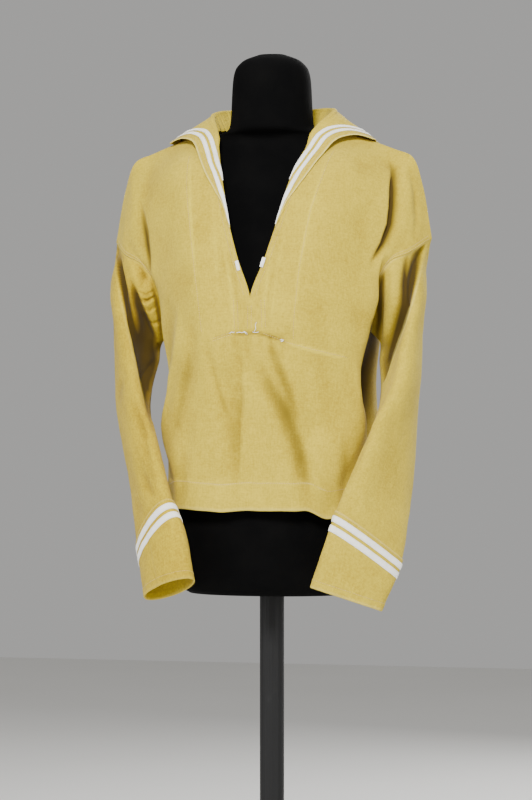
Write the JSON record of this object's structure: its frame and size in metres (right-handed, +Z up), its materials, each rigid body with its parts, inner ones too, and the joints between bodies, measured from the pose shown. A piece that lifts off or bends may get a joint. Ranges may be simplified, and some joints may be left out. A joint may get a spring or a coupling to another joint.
{
  "type": "sailor jumper on a limbless dress form",
  "caption": "Khaki cotton sailor jumper with a square taped collar and taped cuffs, worn by a limbless dress form on a pole and round base.",
  "frame": {"origin": "centre of the round base's underside, on the floor", "axes": "+Z up along the pole, -Y the front of the jumper, +X towards the viewer's right"},
  "size_m": [0.4465, 0.34, 1.38],
  "materials": {
    "khaki_cloth": "soft worn plain cotton drill",
    "sleeve_left_cloth": "soft worn cotton drill, yellower",
    "white_tape": "white twill tape",
    "loop_cotton": "folded white cotton tape",
    "form_cover": "matt black cloth cover",
    "stand_paint": "satin black paint"
  },
  "bodies": {
    "root": {"form": "form_cover", "pole": "stand_paint", "base": "stand_paint", "front": "khaki_cloth", "back": "khaki_cloth", "sleeve_left": "sleeve_left_cloth", "sleeve_left_lower": "sleeve_left_cloth", "cuff_left": "khaki_cloth", "cuff_tape_left_1": "white_tape", "cuff_tape_left_2": "white_tape", "sleeve_right": "khaki_cloth", "sleeve_right_lower": "khaki_cloth", "cuff_right": "khaki_cloth", "cuff_tape_right_1": "white_tape", "cuff_tape_right_2": "white_tape", "collar": "khaki_cloth", "collar_tape_1": "white_tape", "collar_tape_2": "white_tape", "loop_left": "loop_cotton", "loop_right": "loop_cotton"}
  },
  "joints": []
}
